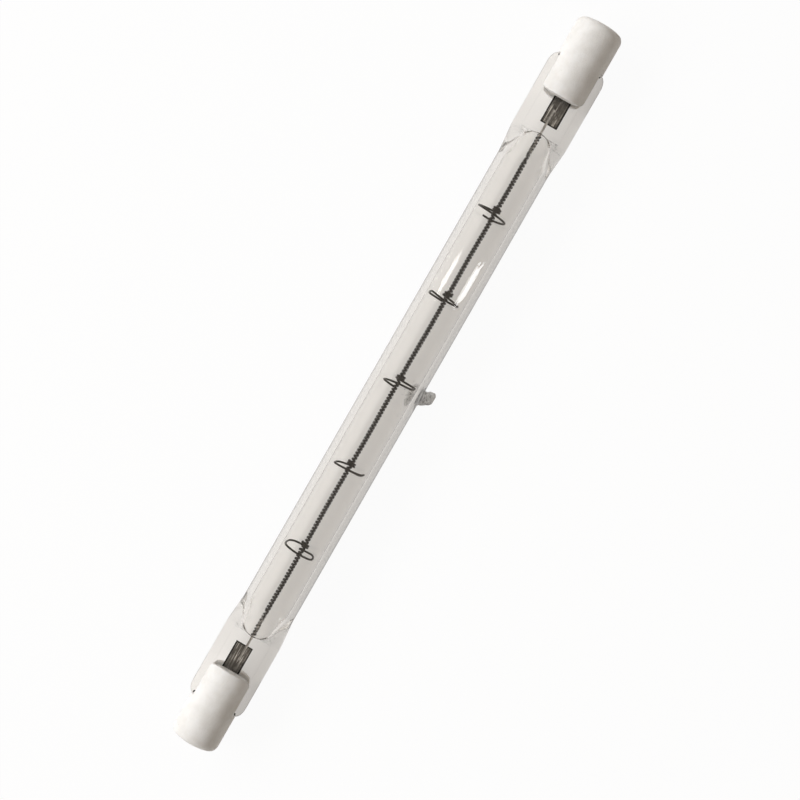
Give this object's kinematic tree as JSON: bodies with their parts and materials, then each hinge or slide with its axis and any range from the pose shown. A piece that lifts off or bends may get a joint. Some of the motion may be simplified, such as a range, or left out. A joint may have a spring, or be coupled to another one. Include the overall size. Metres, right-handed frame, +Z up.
{
  "type": "linear halogen bulb",
  "caption": "Slim double-ended halogen bulb: clear quartz tube with flat press seals, a long coiled filament on wire supports, and white ceramic end caps with recessed contacts.",
  "frame": {"origin": "middle of the lamp's footprint, on the surface that the tube and the exhaust tip rest on", "axes": "+X along the lamp's axis to the right cap, +Z up, square to the flats of the press seals; the exhaust tip leans to -Y and down"},
  "size_m": [0.1176, 0.0102, 0.008],
  "materials": {
    "quartz": "clear, polished",
    "tungsten": "drawn wire",
    "support_wire": "drawn wire",
    "molybdenum": "rolled foil and drawn wire",
    "ceramic": "unglazed, fine grained",
    "contact_metal": "satin",
    "cement": "matt, granular"
  },
  "bodies": {
    "root": {"quartz_envelope": "quartz", "filament": "tungsten", "filament_support_1": "support_wire", "filament_support_2": "support_wire", "filament_support_3": "support_wire", "filament_support_4": "support_wire", "filament_support_5": "support_wire", "inner_lead_left": "tungsten", "sealing_foil_left": "molybdenum", "outer_lead_left": "molybdenum", "ceramic_cap_left": "ceramic", "contact_left": "contact_metal", "cap_cement_left": "cement", "inner_lead_right": "tungsten", "sealing_foil_right": "molybdenum", "outer_lead_right": "molybdenum", "ceramic_cap_right": "ceramic", "contact_right": "contact_metal", "cap_cement_right": "cement"}
  },
  "joints": []
}
